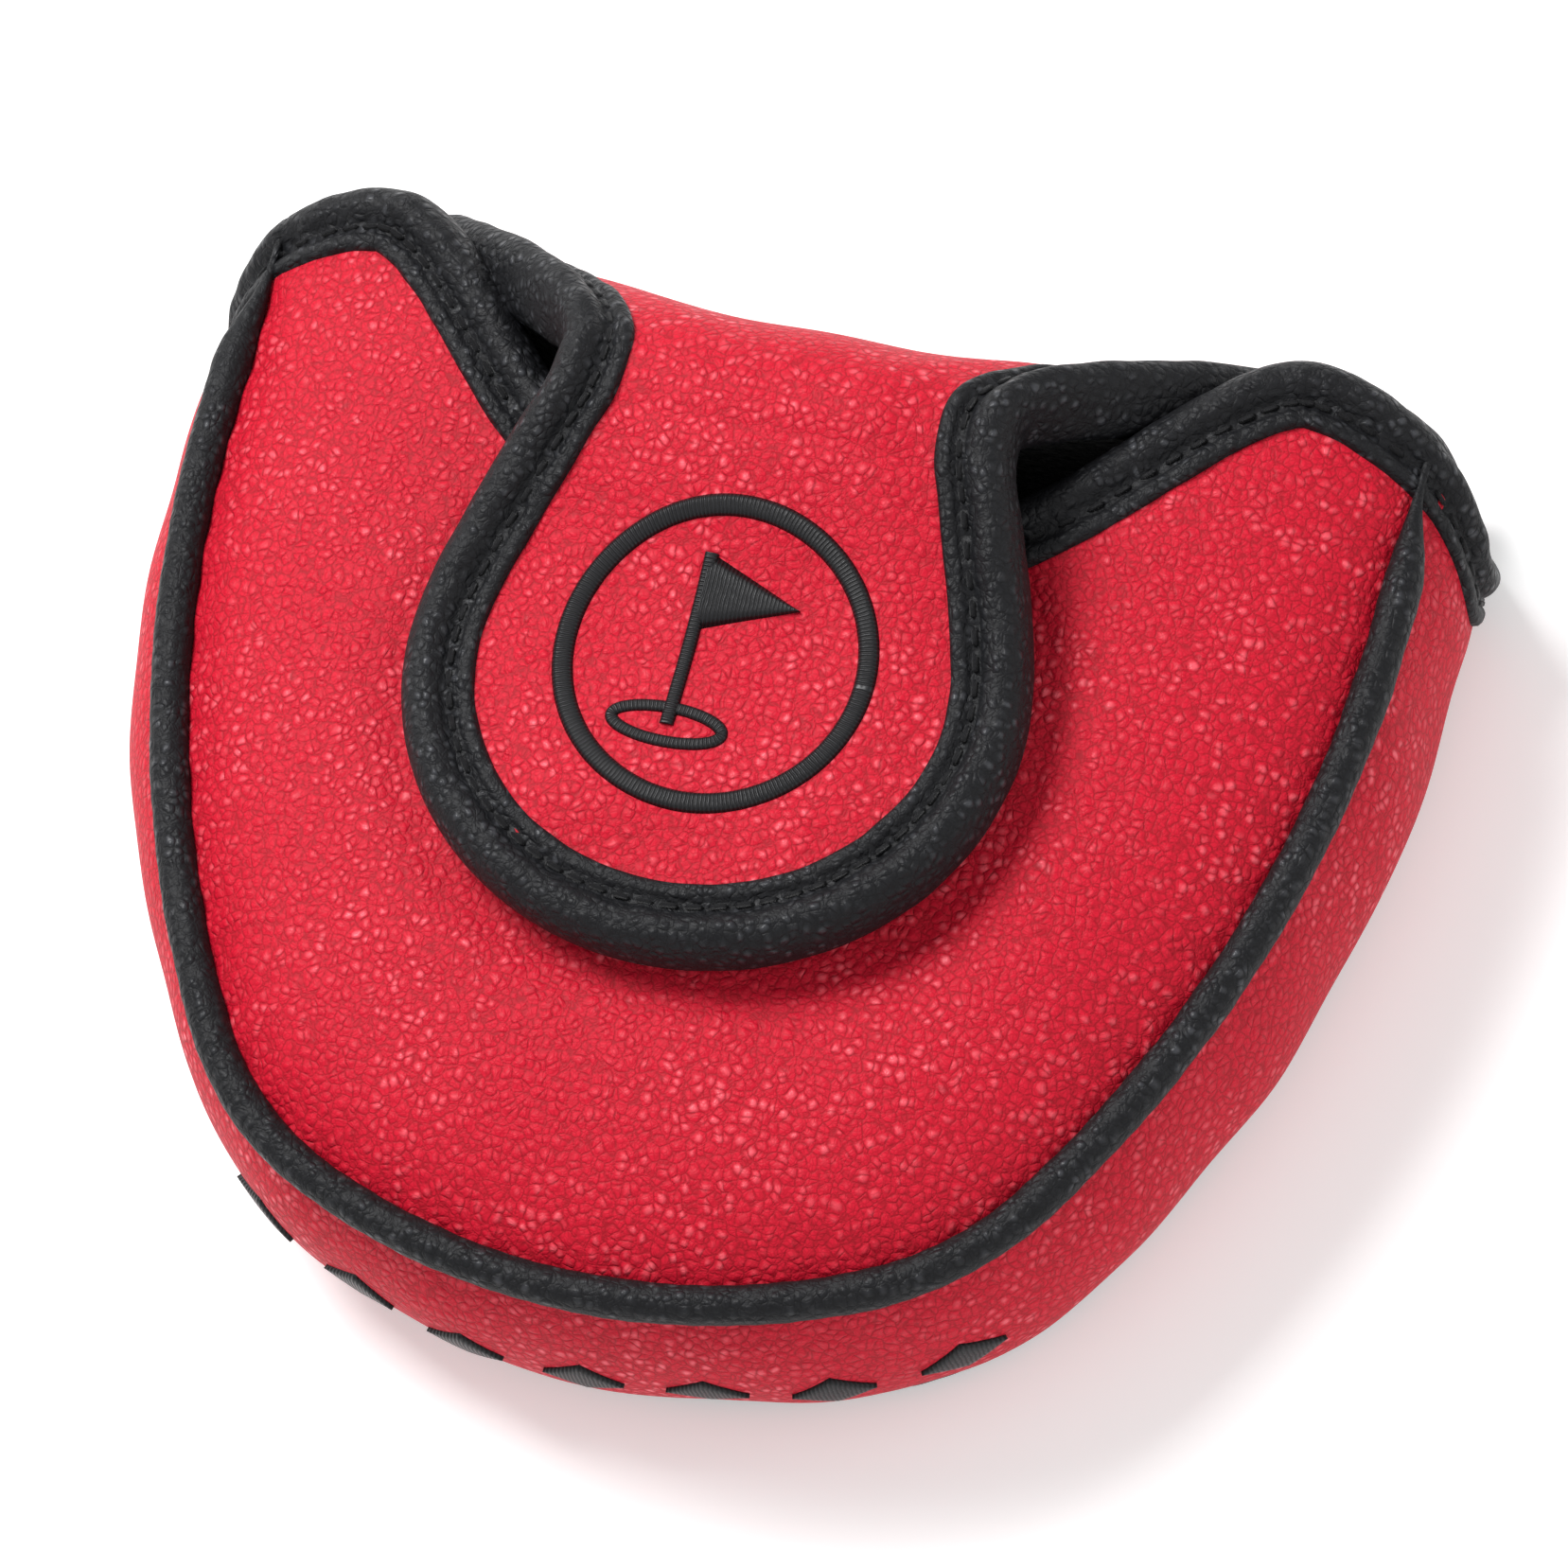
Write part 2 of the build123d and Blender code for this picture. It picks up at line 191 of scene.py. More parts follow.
# %% The dome and the mouth's edge
dome_reach = 8.0
scoop_y, scoop_half = 18.0, 16.0
ear_x, ear_y, ear_run, ear_drop = 50.0, 42.5, 17.5, 12.0
whole_seam = np.concatenate([seam_xy[::-1] * [-1, 1], seam_xy[1:]])
whole_s = np.concatenate([-seam_s[::-1], seam_s[1:]])


def dome(x, y):
    """Height and normal of the front at (x, y), its distance to the seam and the seam's place.

    The nearest point of the table is found in batches, which keeps the table of gaps small.
    """
    shape, batch = x.shape, 4000
    flat = np.stack([x.ravel(), y.ravel()], -1)
    near = np.empty(len(flat), int)
    for start in range(0, len(flat), batch):
        part = flat[start : start + batch]
        gaps = ((part[:, None] - whole_seam[None]) ** 2).sum(-1)
        near[start : start + batch] = gaps.argmin(1)
    s = whole_s[near]
    _, _, nx, ny = seam(s)
    away = flat - whole_seam[near]
    d = np.linalg.norm(away, axis=1)
    inwards = np.where(d[:, None] > 0.3, away / np.maximum(d, 0.01)[:, None], -np.stack([nx, ny], -1))
    rise = dome_rise * (1 - np.exp(-d / dome_reach))
    slope = dome_rise / dome_reach * np.exp(-d / dome_reach)
    normal = np.concatenate([-slope[:, None] * inwards, np.ones((len(flat), 1))], 1)
    normal /= np.linalg.norm(normal, axis=1)[:, None]
    return (front_seam + rise).reshape(shape), normal.reshape(*shape, 3), d.reshape(shape), s.reshape(shape)


def mouth_y(x):
    """Y of the front mouth edge: a flat scoop, a smooth climb, then a quarter of an ellipse."""
    x = np.abs(x)
    climb = scoop_y + (ear_y - scoop_y) * smooth((x - scoop_half) / (ear_x - scoop_half))
    share = np.clip((x - ear_x) / ear_run, 0, 0.995)
    return np.where(x <= ear_x, climb, ear_y - ear_drop * (1 - np.sqrt(1 - share**2)))


def front_point(x, y, height):
    """The point that stands height above the front's skin at (x, y).

    The skin is the dome plus gathers that fade from the seam, slow swelling that fades at the seam
    and the mouth, and a shallow dip along an ellipse, where the flap's rim lies over it.
    """
    z, normal, d, s = dome(x, y)
    pucker = 0.22 * np.exp(-d / 3.0) * gathers(s)
    soft = 0.32 * swell(x, y, 26, 3) * (1 - np.exp(-d / 12)) * smooth((mouth_y(x) - 5 - y) / 16)
    press = np.exp(-(((np.hypot(x / flap_half, (y - flap_wide_y) / 30) - 1.03) / 0.09) ** 2))
    press = press * smooth((20 - y) / 12)
    base = np.stack([x, y, z], -1)
    return base + (height + pucker + soft - 0.55 * press)[..., None] * normal


print("front height at the middle", front_point(np.zeros(1), np.zeros(1), np.zeros(1))[0])

# %% [markdown]
# ## The gusset
# The gusset is the side wall between the two piped seams. Across, it is an arc that bulges 5.5 mm;
# along, it follows the seam. Where the seam runs straight to the mouth its end is cut to the mouth's
# line, so the last stretch is stretched or shortened to meet it. Its foam is fuller on the left.

# %% The gusset's surface
gusset_foot, gusset_bulge = 1.0, 5.5
gusset_mid, gusset_half = (front_seam + gusset_foot) / 2, (front_seam - gusset_foot) / 2
gusset_radius = (gusset_half**2 + gusset_bulge**2) / (2 * gusset_bulge)
gusset_angle = math.asin(gusset_half / gusset_radius)
straight_s = float(seam_s[np.argmax(seam_xy[:, 1] >= side_y)])
end_s = float(straight_s + mouth_y(np.array([half_width]))[0] - side_y)


def gusset_point(s, turn, height, inset=0.0):
    """The point at seam distance s and angle turn across, height outside the skin."""
    x, y, nx, ny = seam(s)
    out = gusset_bulge - gusset_radius + gusset_radius * np.cos(turn)
    stretch = smooth((np.abs(s) - straight_s) / (end_s - straight_s))
    y = y + (mouth_y(half_width + out) - mouth_y(np.array(half_width)) - inset) * stretch
    edge = 1 - (np.abs(turn) / gusset_angle) ** 2
    pucker = 0.2 * (1 - edge) ** 2 * gathers(s)
    soft = 0.45 * swell(s, gusset_radius * turn, 24, 5) * edge
    fuller = 2.6 * smooth((-s - 45) / 40) * smooth((end_s - np.abs(s)) / 26) * edge
    h = height + pucker + soft + np.where(height > -1, fuller, 0)
    reach = out + h * np.cos(turn)
    z = gusset_mid + (gusset_radius + h) * np.sin(turn)
    return np.stack([x + reach * nx, y + reach * ny, z], -1)


print("gusset arc", round(math.degrees(2 * gusset_angle), 1), "degrees")

# %% [markdown]
# ## The back wall and the flap
# They are one cut of leather. Seen from the side it is a half round that turns into two gentle arcs
# and a flat. A table of that line, with its distance s and its normal, lets any point be given as
# (s along, x across, height above), and a tape that is bent over the edge follows with it.


# %% The side line of the back wall and the flap
round_rows = 400


def side_table():
    """From the foot of the half round: (y, z) and the outward normal (ny, nz)."""
    drop, run = arch_top - flap_top, arch_y - flap_flat_y
    bend = (run**2 + drop**2) / (4 * drop)
    slope = math.asin(run / 2 / bend)
    a = np.linspace(-math.pi / 2, math.pi / 2, round_rows)[:-1]
    b = np.linspace(0, slope, 120)[:-1]
    c = np.linspace(slope, 0, 120)[:-1]
    y = np.linspace(flap_flat_y, flap_tip_y - 2, 60)
    points = np.concatenate(
        [
            np.stack([arch_y + arch_radius * np.cos(a), arch_radius + arch_radius * np.sin(a)], -1),
            np.stack([arch_y - bend * np.sin(b), arch_top - bend + bend * np.cos(b)], -1),
            np.stack([flap_flat_y + bend * np.sin(c), flap_top + bend - bend * np.cos(c)], -1),
            np.stack([y, np.full_like(y, flap_top)], -1),
        ]
    )
    normals = np.concatenate(
        [
            np.stack([np.cos(a), np.sin(a)], -1),
            np.stack([-np.sin(b), np.cos(b)], -1),
            np.stack([-np.sin(c), np.cos(c)], -1),
            np.stack([np.zeros_like(y), np.ones_like(y)], -1),
        ]
    )
    return points, normals


side_yz, side_n = side_table()
side_s = np.concatenate([[0], np.cumsum(np.linalg.norm(np.diff(side_yz, axis=0), axis=1))])
crest_s = math.pi * arch_radius
print("side line", round(float(side_s[-1]), 1), "mm, crest at", round(crest_s, 1))

# %% [markdown]
# ## The flap's pull
# The closed flap is a little short, as a tight cover's is, so it draws the middle of the back wall
# forward while the two ears stay back. Moving and squashing the half round by an amount that falls
# to nothing at the ears gives this, and whatever lies on the band is carried along.

# %% Points on the band
draw_in, draw_squash, draw_from = 3.5, 0.49, 13.0


def drawn_in(x, y):
    """Y after the closed flap's pull, which draws the back wall's middle forward, not its ears.

    The share that is drawn is one minus (x over the half width) to the power 2.3. Also gives by how
    much the half round is squashed there.
    """
    free = 1 - np.clip(np.abs(x) / half_width, 0, 1) ** 2.3
    squash = np.where(y > arch_y, 1 - draw_squash * free, 1.0)
    near = y - draw_in * free * smooth((y - draw_from) / (arch_y - draw_from))
    return np.where(y > arch_y, arch_y - draw_in * free + (y - arch_y) * squash, near), squash


def band_point(s, x, height):
    """The point at distance s along the side line, x across and height above the skin."""
    y, z = np.interp(s, side_s, side_yz[:, 0]), np.interp(s, side_s, side_yz[:, 1])
    ny, nz = np.interp(s, side_s, side_n[:, 0]), np.interp(s, side_s, side_n[:, 1])
    x = x + 0 * s
    y, squash = drawn_in(x, y + 0 * x)
    size = np.hypot(ny, nz * squash)
    return np.stack([x, y + height * ny / size, z + height * nz * squash / size], -1)


def flap_s(y):
    """Distance along the side line at which the flap reaches Y."""
    return np.interp(-y, -side_yz[round_rows:, 0], side_s[round_rows:])


flap_wide_s, tip_s = float(flap_s(flap_wide_y)), float(flap_s(flap_tip_y))
ear_angle, neck_angle, neck_y = -52, 86, fold_y - 3


def band_half(s):
    """Half width at s: the rear edge narrows to the neck, then the flap widens to a round tip."""
    angle = np.degrees(s / arch_radius) - 90
    narrow = smooth((angle - ear_angle) / (neck_angle - ear_angle))
    rear = neck_half + (half_width - fit_gap - neck_half) * (1 - narrow)
    y = np.interp(s, side_s, side_yz[:, 0])
    widen = flap_half + (neck_half - flap_half) * smooth((y - flap_wide_y) / (neck_y - flap_wide_y))
    share = np.clip((s - flap_wide_s) / (tip_s - flap_wide_s), 0, 1)
    flap = np.where(s > flap_wide_s, flap_half * np.sqrt(1 - share**2), widen)
    return np.where(angle < neck_angle, rear, flap)


def thinness(s):
    """0 on the back wall and 1 on the flap, whose padding is thinner, with a smooth step between."""
    return smooth((s - crest_s + 6) / 12)


print("flap's widest place at", round(flap_wide_s, 1), "and its tip at", round(tip_s, 1))

# %% [markdown]
# ## From points to meshes
# A grid of points becomes a mesh with one quad per cell. A padded wall is two grids, the skin and
# the lining, joined round their rims, so that it is one closed body. Doubled points at the poles are
# merged, and then the faces are turned outwards.


# %% Mesh makers
def grid_faces(rows, columns, first=0, ring=False):
    """Quads of a grid, row by row; ring joins the last column to the first."""
    i = np.arange(rows - 1)[:, None]
    j = np.arange(columns if ring else columns - 1)[None]
    k = (j + 1) % columns
    quads = np.stack([i * columns + j, i * columns + k, (i + 1) * columns + k, (i + 1) * columns + j], -1)
    return quads.reshape(-1, 4) + first


merge_gap, least_edge = 2e-6, 1e-7


def make_mesh(name, points, faces, materials, indices=None, uv=None):
    """A mesh object from millimetre points in the seam frame, merged and turned outwards."""
    points = (np.asarray(points).reshape(-1, 3) + [0, shift, 0]) / 1000
    mesh = bpy.data.meshes.new(name)
    mesh.from_pydata(points.tolist(), [], faces.tolist())
    if uv is not None:
        layer = mesh.uv_layers.new(name="UVMap")
        corners = np.zeros(len(mesh.loops), np.int32)
        mesh.loops.foreach_get("vertex_index", corners)
        layer.data.foreach_set("uv", uv.reshape(-1, 2)[corners].astype(np.float32).ravel())
    if indices is not None:
        mesh.polygons.foreach_set("material_index", indices.astype(np.int32))
    work = bmesh.new()
    work.from_mesh(mesh)
    bmesh.ops.remove_doubles(work, verts=work.verts, dist=merge_gap)
    bmesh.ops.dissolve_degenerate(work, edges=work.edges, dist=least_edge)
    bmesh.ops.recalc_face_normals(work, faces=work.faces)
    for face in work.faces:
        face.smooth = True
    work.to_mesh(mesh)
    work.free()
    for material in materials:
        mesh.materials.append(material)
    piece = bpy.data.objects.new(name, mesh)
    bpy.context.scene.collection.objects.link(piece)
    return piece


def rim_faces(rows, columns, offset):
    """Quads that join the rim of one grid to the rim of the same grid offset points later."""
    index = np.arange(rows * columns).reshape(rows, columns)
    rim = np.concatenate([index[0], index[1:, -1], index[-1, -2::-1], index[-2:0:-1, 0]])
    after = np.roll(rim, -1)
    return np.stack([rim, rim + offset, after + offset, after], -1)


def padded_wall(name, outside, inside, leather, lining):
    """A closed wall from the grid of its skin and the grid of its lining."""
    rows, columns = outside.shape[:2]
    count = rows * columns
    outer = grid_faces(rows, columns)
    inner = grid_faces(rows, columns, count)[:, ::-1]
    rim = rim_faces(rows, columns, count)
    faces = np.concatenate([outer, inner, rim])
    indices = np.concatenate([np.zeros(len(outer)), np.ones(len(inner) + len(rim))])
    points = np.concatenate([outside.reshape(-1, 3), inside.reshape(-1, 3)])
    return make_mesh(name, points, faces, [leather, lining], indices)


def tube(name, points, materials, uv=None):
    """A closed tube from rings of points; each end ring is followed by its own middle, repeated."""
    ends = points[[0, -1]].mean(1, keepdims=True) + 0 * points[[0, -1]]
    points = np.concatenate([ends[:1], points, ends[1:]])
    if uv is not None:
        uv = np.concatenate([uv[:1], uv, uv[-1:]])
    return make_mesh(name, points, grid_faces(*points.shape[:2], ring=True), materials, uv=uv)


print("mesh makers ready")

# %% [markdown]
# ## Shader arithmetic
# A node tree is easier to read as a sum. The class below wraps a socket, so that a + b adds a Math
# node, and one method adds any other node from its type, its settings and its inputs.


# %% Sockets with operators
class Wire:
    """A shader socket that adds Math nodes when it is used in arithmetic."""

    def __init__(self, tree, socket):
        self.tree, self.socket = tree, socket

    def node(self, kind, settings=None, out=0, **inputs):
        """Any node: its settings are set first, then each input is linked or given its value.

        An input is named as its socket, with _ for a space, or i and its number.
        """
        made = self.tree.nodes.new(kind)
        for key, value in (settings or {}).items():
            setattr(made, key, value)
        for key, value in inputs.items():
            name = key.replace("_", " ")
            socket = made.inputs[int(name[1:])] if name[1:].isdigit() else made.inputs[name]
            if isinstance(value, Wire):
                self.tree.links.new(value.socket, socket)
            else:
                socket.default_value = value
        return Wire(self.tree, made.outputs[out])

    def _math(self, operation, a, b):
        return self.node("ShaderNodeMath", {"operation": operation}, i0=a, i1=b)

    def __add__(self, other):
        return self._math("ADD", self, other)

    def __radd__(self, other):
        return self._math("ADD", other, self)

    def __sub__(self, other):
        return self._math("SUBTRACT", self, other)

    def __rsub__(self, other):
        return self._math("SUBTRACT", other, self)

    def __mul__(self, other):
        return self._math("MULTIPLY", self, other)

    def clamp(self, low, high):
        """0 at low, 1 at high, smooth between."""
        settings = {"interpolation_type": "SMOOTHSTEP"}
        return self.node("ShaderNodeMapRange", settings, Value=self, From_Min=low, From_Max=high)

    def mix(self, a, b):
        """Colour a where this is 0, colour b where it is 1."""
        settings = {"data_type": "RGBA"}
        return self.node("ShaderNodeMix", settings, out=2, i0=self, i6=a, i7=b)


def new_material(name, rough, sheen=0.0, specular=0.5):
    """A material, the wire of its Object coordinates, and its shader node."""
    material = bpy.data.materials.new(name)
    material.use_nodes = True
    tree = material.node_tree
    shader = tree.nodes["Principled BSDF"]
    shader.inputs["Roughness"].default_value = rough
    shader.inputs["Sheen Weight"].default_value = sheen
    shader.inputs["Specular IOR Level"].default_value = specular
    coordinates = tree.nodes.new("ShaderNodeTexCoord")
    return material, Wire(tree, coordinates.outputs["Object"]), shader


def finish(wire, shader, colour=None, rough=None, height=None, depth=0.0001):
    """Feeds a shader: colour, roughness, and a height in 0 to 1 that is depth metres tall."""
    tree = wire.tree
    if colour is not None:
        tree.links.new(colour.socket, shader.inputs["Base Color"])
    if rough is not None:
        tree.links.new(rough.socket, shader.inputs["Roughness"])
    if height is not None:
        bump = wire.node("ShaderNodeBump", Strength=1.0, Distance=depth, Height=height)
        tree.links.new(bump.socket, shader.inputs["Normal"])


print("shader helpers ready")

# %% [markdown]
# ## Pebbled leather
# Embossed leather is a skin of small rounded pebbles, a little over a millimetre across, with fine
# wrinkles in the valleys between them. A Voronoi texture's distance to the middle of its cell,
# through a smooth step, makes a round dome, and its distance to the border makes the furrows. Some
# crowns are smoother and carry a paler painted highlight, and the valleys are coloured darker.


# %% Leather
def pebbled_leather(name, valley, body, painted_highlight, rough, pebble=1.15, depth=0.00022):
    """Leather from three colours: its valleys' darker tone, its body and a painted highlight on crowns."""
    material, place, shader = new_material(name, rough, specular=0.22)
    drift = place.node("ShaderNodeTexNoise", out=1, Vector=place, Scale=420.0, Detail=2.0)
    drift = place.node("ShaderNodeVectorMath", {"operation": "SUBTRACT"}, i0=drift, i1=(0.5, 0.5, 0.5))
    drift = place.node("ShaderNodeVectorMath", {"operation": "SCALE"}, i0=drift, Scale=0.0012)
    bent = place.node("ShaderNodeVectorMath", {"operation": "ADD"}, i0=place, i1=drift)
    cells = {"Vector": bent, "Scale": 1000 / pebble, "Randomness": 0.85}
    middles, borders = {"feature": "F1"}, {"feature": "DISTANCE_TO_EDGE"}
    middle = place.node("ShaderNodeTexVoronoi", middles, **cells)
    shade = place.node("ShaderNodeTexVoronoi", middles, out=1, **cells)
    border = place.node("ShaderNodeTexVoronoi", borders, **cells)
    small = place.node("ShaderNodeTexVoronoi", borders, Vector=bent, Scale=2300 / pebble)
    cell = place.node("ShaderNodeSeparateColor", i0=shade)
    fine = place.node("ShaderNodeTexNoise", Vector=place, Scale=4200.0, Detail=3.0)
    slow = place.node("ShaderNodeTexNoise", Vector=place, Scale=60.0, Detail=3.0)
    dome = 1 - middle.clamp(0.08, 0.62)
    furrow = border.clamp(0.0, 0.14)
    crumbs = small.clamp(0.0, 0.25)
    height = dome * (0.5 + cell * 0.3) + furrow * 0.14 + crumbs * 0.1 + fine * 0.05
    tone = (furrow * 0.6 + crumbs * 0.4).mix((*valley, 1), (*body, 1))
    # painted highlight: paler colour on some pebble crowns, in slow patches, standing in for glints of
    # light
    painted_glint = (1 - middle.clamp(0.1, 0.52)) * cell.clamp(0.1, 0.9) * slow.clamp(0.32, 0.62)
    tone = (painted_glint * 0.62).mix(tone, (*painted_highlight, 1))
    dull = rough + 0.12 - dome * 0.1 - painted_glint * 0.2 + fine * 0.08
    finish(place, shader, tone, dull, height, depth)
    return material


red_leather = pebbled_leather(
    "red_leather", (0.32, 0.002, 0.011), (0.58, 0.004, 0.024), (0.95, 0.15, 0.19), 0.46
)
black_leather = pebbled_leather(
    "black_leather", (0.004, 0.004, 0.005), (0.0085, 0.0088, 0.0105), (0.075, 0.077, 0.086), 0.4, 1.1
)
print("leathers", red_leather.name, black_leather.name)

# %% [markdown]
# ## Plush, thread and plate
# The lining is a short black pile: soft noise at two sizes and a sheen at grazing angles. The
# embroidery is satin stitch, thread laid side by side, so its bump is a fine wave along the piece's
# own U coordinate. The hidden magnets have a plain nickel plate.


# %% Lining, thread and plate
def plush_pile(name):
    """Short black pile."""
    material, place, shader = new_material(name, 0.95, sheen=0.35, specular=0.15)
    tufts = place.node("ShaderNodeTexNoise", Vector=place, Scale=900.0, Detail=4.0)
    swirl = place.node("ShaderNodeTexNoise", Vector=place, Scale=110.0, Detail=3.0)
    height = tufts * 0.7 + swirl * 0.3
    tone = height.clamp(0.3, 0.7).mix((0.006, 0.006, 0.007, 1), (0.03, 0.03, 0.033, 1))
    finish(place, shader, tone, None, height, 0.0006)
    return material


def laid_thread(name, groove_shade, crest_highlight, pitch=0.42):
    """Threads side by side across the U direction, pitch millimetres apart; painted shade and highlight."""
    material, place, shader = new_material(name, 0.45, specular=0.3)
    tree = place.tree
    uv = Wire(tree, tree.nodes.new("ShaderNodeUVMap").outputs[0])
    parts = place.node("ShaderNodeSeparateXYZ", i0=uv)
    wander = place.node("ShaderNodeTexNoise", Vector=place, Scale=900.0)
    phase = (parts + wander * 0.25) * (2 * math.pi / pitch)
    wave = place.node("ShaderNodeMath", {"operation": "SINE"}, i0=phase) * 0.5 + 0.5
    # painted shade between threads and painted highlight on each thread's crest, following the bump's wave
    tone = wave.mix((*groove_shade, 1), (*crest_highlight, 1))
    finish(place, shader, tone, 0.5 - wave * 0.16, wave, 0.00009)
    return material


def plated(name):
    """Nickel plate with a faint turned grain."""
    material, place, shader = new_material(name, 0.3)
    shader.inputs["Metallic"].default_value = 1.0
    grain = place.node("ShaderNodeTexNoise", Vector=place, Scale=2200.0, Detail=3.0)
    tone = grain.mix((0.55, 0.55, 0.56, 1), (0.72, 0.72, 0.74, 1))
    finish(place, shader, tone, 0.25 + grain * 0.15, grain, 0.00001)
    return material


plush = plush_pile("plush")
thread = laid_thread("thread", (0.002, 0.002, 0.0025), (0.012, 0.012, 0.014))
stitch_thread = laid_thread("stitch_thread", (0.004, 0.004, 0.005), (0.03, 0.03, 0.033), 0.3)
plate = plated("plate")
print("finishes ready")

# %% [markdown]
# ## The front wall
# A row runs from a place on the seam to the matching place on the mouth's edge; all the rows
# together fill the D, and at the two ears they shrink to a point. The lining is the same grid moved
# into the pouch by the wall's thickness. A cloth simulation could swell the padding, but it would
# also move the seams, which have to stay where the piping and the tape are, so the swelling is part
# of the surface's formula.


# %% Front wall
rim_inset = 1.5


def front_grid(height, rows=300, columns=90):
    """Points from the seam to the mouth edge, height above the skin."""
    u = np.linspace(-1, 1, rows)[:, None]
    t = np.linspace(0, 1, columns)[None] ** 1.25
    sx, sy, _, _ = seam(u * (end_s - rim_inset))
    mx = half_width * u
    my = mouth_y(mx) - rim_inset
    return front_point(sx + (mx - sx) * t, sy + (my - sy) * t, height)


front_wall = padded_wall("front_wall", front_grid(0.0), front_grid(-wall), red_leather, plush)
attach(front_wall, "pouch")
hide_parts("front_panel", "front_padding", "front_lining")
print("front wall", len(front_wall.data.polygons), "faces")

# %% [markdown]
# ## The gusset as a closed wall
# Its skin is the bulging surface above. Its lining is an upright wall just inside the seam line, and
# the foam between them is what makes the side round.


# %% Gusset
def gusset_grid(height, rows=420, columns=44):
    """Points round the seam and across the bulge."""
    s = np.linspace(-1, 1, rows)[:, None] * end_s
    turn = np.linspace(-1, 1, columns)[None] * gusset_angle
    return gusset_point(s + 0 * turn, turn + 0 * s, height, rim_inset)


def gusset_inside(rows=420, columns=44):
    """The gusset's lining: an upright wall just inside the seam line."""
    s = np.linspace(-1, 1, rows)[:, None] * end_s
    z = np.linspace(gusset_foot + 1, front_seam - 1, columns)[None]
    x, y, nx, ny = seam(s)
    stretch = smooth((np.abs(s) - straight_s) / (end_s - straight_s))
    inside = -rim_inset + 0 * z
    return np.stack([x + inside * nx, y - rim_inset * stretch + inside * ny, z + 0 * s], -1)


gusset = padded_wall("gusset", gusset_grid(0.0), gusset_inside(), red_leather, plush)
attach(gusset, "pouch")
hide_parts("gusset_panel", "gusset_padding", "gusset_lining")
print("gusset", len(gusset.data.polygons), "faces")

# %% [markdown]
# ## The back wall and the flap
# The floor of the pouch and the foot of the curl ride on the pouch. From a sixth of the way round
# the half round the leather is one strip, over the arch and down to the flap's tip. It rides on
# neither body; near the crest, the hinge of the solid model stands for its fold.

# %% Back floor
join_s = math.radians(30) * arch_radius


def floor_grid(height, rows=150, columns=120):
    """From the nose to the join low on the half round; each row runs between the two seams."""
    u = np.linspace(-1, 1, columns)[None]
    to_arch = straight_s + arch_y - side_y
    s = np.linspace(0.4, to_arch + join_s, rows)[:, None]
    x, y, _, _ = seam(np.minimum(s, to_arch))
    x = (x - fit_gap) * u
    curl = np.maximum(s - to_arch, 0) + 0 * u
    rim = np.exp(-(1 - np.abs(u)) * (half_width / 5)) * (curl == 0)
    soft = 0.005 * (1 + swell(x, y + 0 * u, 22, 8)) * (1 - np.abs(u) ** 4)
    level, _ = drawn_in(x, y + 0 * u)
    on_floor = np.stack([x + 0 * s, level, rim + soft - height], -1)
    return np.where((curl > 0)[..., None], band_point(curl, x, height), on_floor)


back_floor = padded_wall("back_floor", floor_grid(0.0), floor_grid(-wall), red_leather, plush)
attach(back_floor, "pouch")
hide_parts("back_panel", "back_padding", "back_lining")
print("back floor", len(back_floor.data.polygons), "faces")

# %% [markdown]
# ## The strip over the arch
# Its padding stands up between the tapes, and a shallow dip marks the fold.


# %% Back wall and flap strip
def strip_skin(s, x):
    """Height of the strip's skin: the padding stands up between the tapes and dips at the fold."""
    from_tape = np.minimum(band_half(s) - np.abs(x), tip_s - s) - 7.5
    puff = 0.9 * smooth(from_tape / 9)
    soft = 0.22 * swell(x, s, 24, 11) * smooth(from_tape / 6)
    dip = 0.35 * np.exp(-(((s - crest_s - 6) / 2.5) ** 2)) * np.exp(-((x / neck_half) ** 2))
    return puff + soft - dip


def strip_grid(inside, rows=420, columns=110):
    """From the join over the arch to the flap's tip, closer together at the tip and the edges."""
    turn = np.linspace(0, 1, rows)[:, None]
    turn = np.sin(turn * math.pi / 2) * 0.35 + turn * 0.65
    u = np.linspace(-1, 1, columns)[None]
    u = np.sin(u * math.pi / 2) * 0.4 + u * 0.6
    s = join_s + (tip_s - 1.2 - join_s) * turn + 0 * u
    x = np.maximum(band_half(s + 1.0) - rim_inset, 0.0) * u
    thick = wall + (flap_wall - wall) * thinness(s)
    return band_point(s, x, -thick if inside else strip_skin(s, x))


strip = padded_wall("back_wall_and_flap", strip_grid(False), strip_grid(True), red_leather, plush)
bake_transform(strip)
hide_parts("flap_panel", "flap_padding", "flap_lining")
print("strip", len(strip.data.polygons), "faces")

# %% [markdown]
# ## The binding tape
# The raw edges are wrapped in a folded tape. Its section is a round bead over the edge, a groove
# pulled in by the stitches, and a thin flange. The section is written once as (inset, height) and
# carried along an edge; each family of surfaces above turns (edge, inset, height) into a point.


# %% The tape's section
tape_width, tape_step, stitch_pitch, stitch_inset = 8.0, 0.7, 3.0, 5.3


